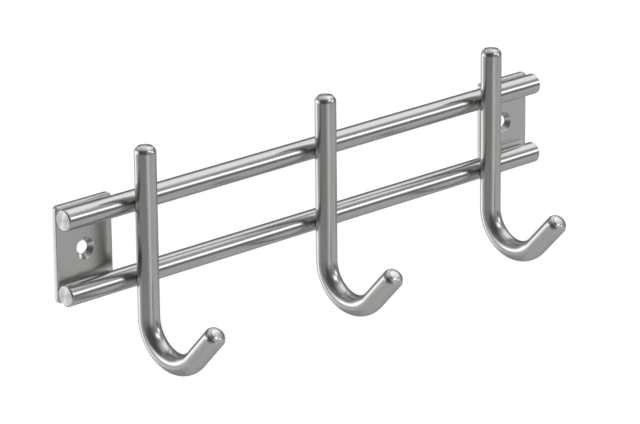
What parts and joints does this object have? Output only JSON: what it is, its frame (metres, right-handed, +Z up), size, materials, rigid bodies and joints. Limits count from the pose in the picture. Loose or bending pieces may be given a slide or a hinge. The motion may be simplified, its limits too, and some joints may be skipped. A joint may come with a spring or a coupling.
{
  "type": "coat hook rail",
  "caption": "Wall rail of round stainless bar: long rods on countersunk wall plates, with bent J hooks welded across the front.",
  "frame": {"origin": "on the wall, midway between the two screw holes and halfway between the two rods", "axes": "+X along the rods, +Y into the wall, +Z up; the wall plates' backs lie on Y = 0 and the hooks point to -Y"},
  "size_m": [0.3, 0.0649, 0.1025],
  "materials": {
    "plate_steel": "satin ground sheet with fine bevelled edges",
    "rod_steel": "satin drawn bar with turned ends",
    "hook_steel": "satin drawn bar with blunt crowned ends"
  },
  "bodies": {
    "root": {"left_plate": "plate_steel", "right_plate": "plate_steel", "upper_rod": "rod_steel", "lower_rod": "rod_steel", "hook_left": "hook_steel", "hook_middle": "hook_steel", "hook_right": "hook_steel"}
  },
  "joints": []
}
